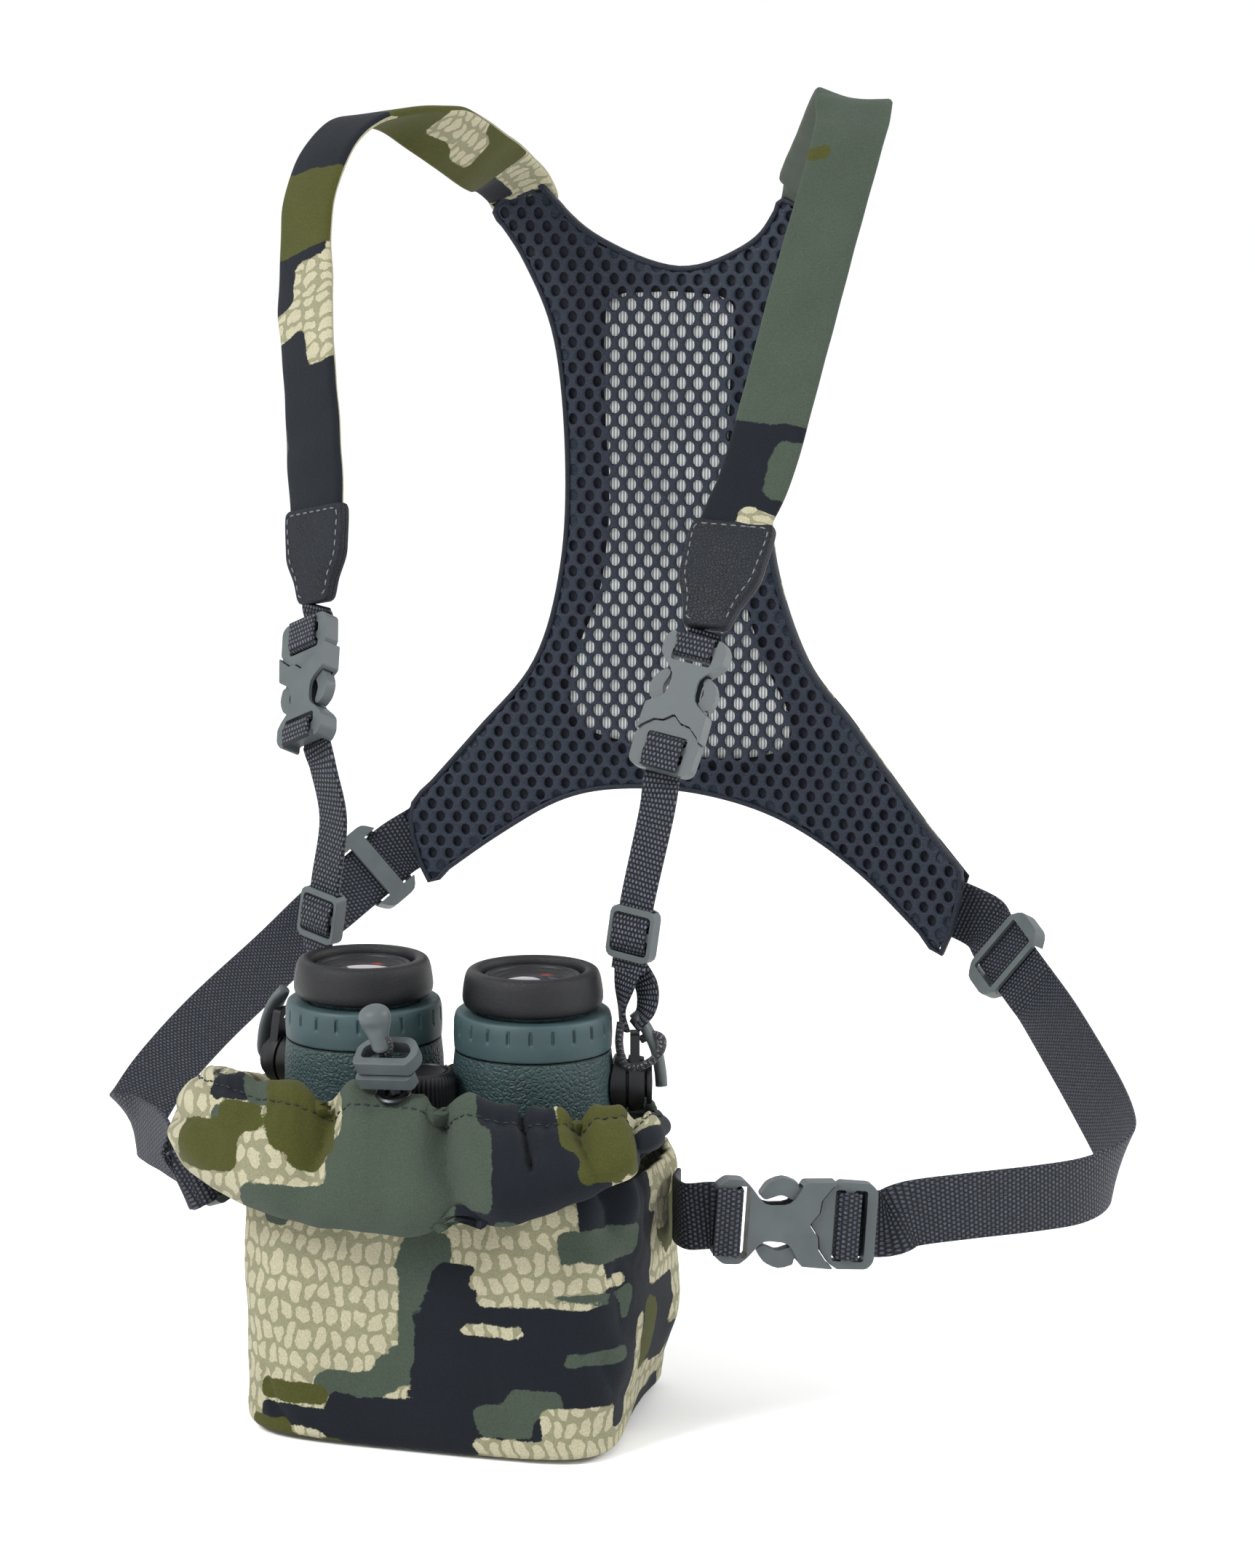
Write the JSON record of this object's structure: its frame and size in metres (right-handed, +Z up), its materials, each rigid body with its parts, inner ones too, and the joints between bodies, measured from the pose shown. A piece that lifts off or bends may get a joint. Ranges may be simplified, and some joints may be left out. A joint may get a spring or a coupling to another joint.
{
  "type": "binocular harness pack",
  "caption": "Soft drawcord pouch holding a binocular, hung from a padded back panel by shoulder straps with side-release buckles and steadied by waist straps.",
  "frame": {"origin": "centre of the pouch's flat base, on the surface it stands on", "axes": "+X to the right as seen from the front, +Y from the pouch towards the wearer and the back panel, +Z up"},
  "size_m": [0.3467, 0.3147, 0.4107],
  "materials": {
    "armour": "leather-grained rubber armour over a metal body",
    "black_rubber": "soft matt rubber",
    "black_plastic": "satin black moulded plastic",
    "lens_glass": "coated optical glass",
    "prism_glass": "clear optical glass",
    "camo_fabric": null,
    "spacer_mesh": "air mesh with rows of oval holes",
    "pad_insert": "pale ribbed foam insert",
    "tab_leather": "smooth dark leather with an edge stitch",
    "webbing": "ribbed woven webbing",
    "grey_hardware": "satin grey moulded plastic",
    "elastic_cord": "braided elastic cord",
    "grommet_metal": "black painted metal"
  },
  "bodies": {
    "pack": {"back_panel_cover": "camo_fabric", "back_panel_insert": "pad_insert", "back_panel_mesh": "spacer_mesh", "barrel_left": "armour", "barrel_right": "armour", "bridge": "black_plastic", "chest_left_buckle_plug": "grey_hardware", "chest_left_buckle_socket": "grey_hardware", "chest_right_buckle_plug": "grey_hardware", "chest_right_buckle_socket": "grey_hardware", "cord_knob": "grey_hardware", "cord_lock_body": "grey_hardware", "drawcord": "elastic_cord", "eyepiece_lens_left": "lens_glass", "eyepiece_lens_right": "lens_glass", "grommet": "grommet_metal", "lug_connector_left": "black_plastic", "lug_connector_right": "black_plastic", "objective_lens_left": "lens_glass", "objective_lens_right": "lens_glass", "pouch_body": "camo_fabric", "pouch_collar": "camo_fabric", "pouch_side_webbing_left": "webbing", "pouch_side_webbing_right": "webbing", "prism_left": "prism_glass", "prism_right": "prism_glass", "shoulder_strap_left": "camo_fabric", "shoulder_strap_right": "camo_fabric", "strap_tab_left": "tab_leather", "strap_tab_right": "tab_leather", "tab_webbing_left": "webbing", "tab_webbing_right": "webbing", "tether_hook_left": "grey_hardware", "tether_hook_right": "grey_hardware", "tether_webbing_left": "webbing", "tether_webbing_right": "webbing", "waist_left_buckle_plug": "grey_hardware", "waist_left_buckle_socket": "grey_hardware", "waist_right_buckle_plug": "grey_hardware", "waist_right_buckle_socket": "grey_hardware", "waist_webbing_left": "webbing", "waist_webbing_right": "webbing"},
    "chest_left_prong_a": {"chest_left_buckle_prong_a": "grey_hardware"},
    "chest_left_prong_b": {"chest_left_buckle_prong_b": "grey_hardware"},
    "waist_left_prong_a": {"waist_left_buckle_prong_a": "grey_hardware"},
    "waist_left_prong_b": {"waist_left_buckle_prong_b": "grey_hardware"},
    "waist_slider_left_body": {"waist_slider_left": "grey_hardware"},
    "triglide_left_body": {"triglide_left": "grey_hardware"},
    "ocular_ring_left_body": {"ocular_ring_left": "armour"},
    "eyecup_left_body": {"eyecup_left": "black_rubber"},
    "chest_right_prong_a": {"chest_right_buckle_prong_a": "grey_hardware"},
    "chest_right_prong_b": {"chest_right_buckle_prong_b": "grey_hardware"},
    "waist_right_prong_a": {"waist_right_buckle_prong_a": "grey_hardware"},
    "waist_right_prong_b": {"waist_right_buckle_prong_b": "grey_hardware"},
    "waist_slider_right_body": {"waist_slider_right": "grey_hardware"},
    "triglide_right_body": {"triglide_right": "grey_hardware"},
    "ocular_ring_right_body": {"ocular_ring_right": "armour"},
    "eyecup_right_body": {"eyecup_right": "black_rubber"},
    "cord_lock_jaw_body": {"cord_lock_jaw": "grey_hardware"},
    "focus_wheel_body": {"focus_wheel": "black_plastic"}
  },
  "joints": [
    {"name": "chest_left_prong_a_flex", "type": "hinge", "parent": "pack", "child": "chest_left_prong_a", "pos_m": [-0.05623, 0.03036, 0.23047], "axis": [0.49, 0.7718, -0.4053], "range_deg": [0, 6.5], "stiffness_Nm_per_rad": 0.35},
    {"name": "chest_left_prong_b_flex", "type": "hinge", "parent": "pack", "child": "chest_left_prong_b", "pos_m": [-0.06754, 0.03485, 0.22536], "axis": [-0.49, -0.7718, 0.4053], "range_deg": [0, 6.5], "stiffness_Nm_per_rad": 0.35},
    {"name": "waist_left_prong_a_flex", "type": "hinge", "parent": "pack", "child": "waist_left_prong_a", "pos_m": [-0.08481, 0.02689, 0.06339], "axis": [0.8634, -0.3734, 0.3394], "range_deg": [0, 6.5], "stiffness_Nm_per_rad": 0.6},
    {"name": "waist_left_prong_b_flex", "type": "hinge", "parent": "pack", "child": "waist_left_prong_b", "pos_m": [-0.09167, 0.02485, 0.0786], "axis": [-0.8634, 0.3734, -0.3394], "range_deg": [0, 6.5], "stiffness_Nm_per_rad": 0.6},
    {"name": "waist_slider_left_slide", "type": "slide", "parent": "pack", "child": "waist_slider_left_body", "axis": [-0.5192, -0.6789, -0.5192], "range_m": [0, 0.01]},
    {"name": "triglide_left_slide", "type": "slide", "parent": "pack", "child": "triglide_left_body", "axis": [0.164, -0.066, 0.9842], "range_m": [-0.001, 0.003]},
    {"name": "ocular_ring_left_twist", "type": "hinge", "parent": "pack", "child": "ocular_ring_left_body", "pos_m": [-0.033, 0.002, 0.123], "axis": [0, 0, 1], "range_deg": [0, 90]},
    {"name": "eyecup_left_rise", "type": "slide", "parent": "ocular_ring_left_body", "child": "eyecup_left_body", "axis": [0, 0, 1], "range_m": [0, 0.0081]},
    {"name": "chest_right_prong_a_flex", "type": "hinge", "parent": "pack", "child": "chest_right_prong_a", "pos_m": [0.05806, 0.01833, 0.22078], "axis": [0.0141, 0.9287, -0.3705], "range_deg": [0, 6.5], "stiffness_Nm_per_rad": 0.35},
    {"name": "chest_right_prong_b_flex", "type": "hinge", "parent": "pack", "child": "chest_right_prong_b", "pos_m": [0.07099, 0.01718, 0.21839], "axis": [-0.0141, -0.9287, 0.3705], "range_deg": [0, 6.5], "stiffness_Nm_per_rad": 0.35},
    {"name": "waist_right_prong_a_flex", "type": "hinge", "parent": "pack", "child": "waist_right_prong_a", "pos_m": [0.11306, 0.00009, 0.05968], "axis": [-0.4196, 0.9044, -0.0778], "range_deg": [0, 6.5], "stiffness_Nm_per_rad": 0.6},
    {"name": "waist_right_prong_b_flex", "type": "hinge", "parent": "pack", "child": "waist_right_prong_b", "pos_m": [0.11371, 0.00183, 0.07639], "axis": [0.4196, -0.9044, 0.0778], "range_deg": [0, 6.5], "stiffness_Nm_per_rad": 0.6},
    {"name": "waist_slider_right_slide", "type": "slide", "parent": "pack", "child": "waist_slider_right_body", "axis": [0.6006, -0.6606, -0.4504], "range_m": [-0.004, 0.012]},
    {"name": "triglide_right_slide", "type": "slide", "parent": "pack", "child": "triglide_right_body", "axis": [0.1301, 0.03, 0.991], "range_m": [-0.001, 0.003]},
    {"name": "ocular_ring_right_twist", "type": "hinge", "parent": "pack", "child": "ocular_ring_right_body", "pos_m": [0.023, 0.002, 0.123], "axis": [0, 0, 1], "range_deg": [0, 90]},
    {"name": "eyecup_right_rise", "type": "slide", "parent": "ocular_ring_right_body", "child": "eyecup_right_body", "axis": [0, 0, 1], "range_m": [0, 0.0081]},
    {"name": "cord_lock_squeeze", "type": "slide", "parent": "pack", "child": "cord_lock_jaw_body", "axis": [0.0041, 0.8007, 0.599], "range_m": [0, 0.0013], "stiffness_N_per_m": 900},
    {"name": "focus_wheel_turn", "type": "hinge", "parent": "pack", "child": "focus_wheel_body", "pos_m": [-0.005, -0.022, 0.105], "axis": [0, 0, 1], "range_deg": [-180, 180]}
  ],
  "couplings": [
    {"joint": "eyecup_left_rise", "follows": "ocular_ring_left_twist", "m_per_rad": 0.005093},
    {"joint": "eyecup_right_rise", "follows": "ocular_ring_right_twist", "m_per_rad": 0.005093}
  ]
}
